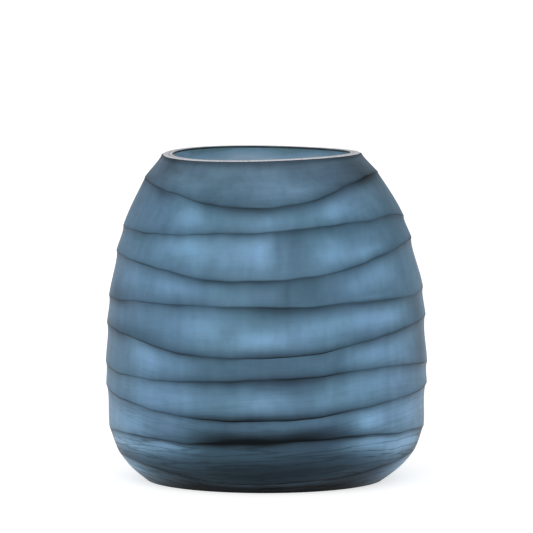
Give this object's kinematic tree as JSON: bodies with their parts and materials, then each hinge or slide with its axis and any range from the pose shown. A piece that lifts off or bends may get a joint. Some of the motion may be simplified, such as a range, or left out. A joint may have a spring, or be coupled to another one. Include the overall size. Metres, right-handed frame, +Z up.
{
  "type": "flower vase",
  "caption": "Beehive-shaped flower vase of frosted blue cased glass, cut all round into wavy bands, with a wide mouth, a ground flat rim and a thick flat foot.",
  "frame": {"origin": "on the table, under the middle of the vase", "axes": "+Z up out of the mouth, -Y the front, where the waves of the cut bands dip, +X to the right seen from the front, towards which the rim rises"},
  "size_m": [0.2712, 0.2712, 0.2767],
  "materials": {
    "overlay_glass": "blue glass, ground matt all over the outside and on the rim",
    "casing_glass": "paler blue-green glass, smooth as blown on the inside"
  },
  "bodies": {
    "root": {"outer_cut_overlay": "overlay_glass", "inner_casing": "casing_glass"}
  },
  "joints": []
}
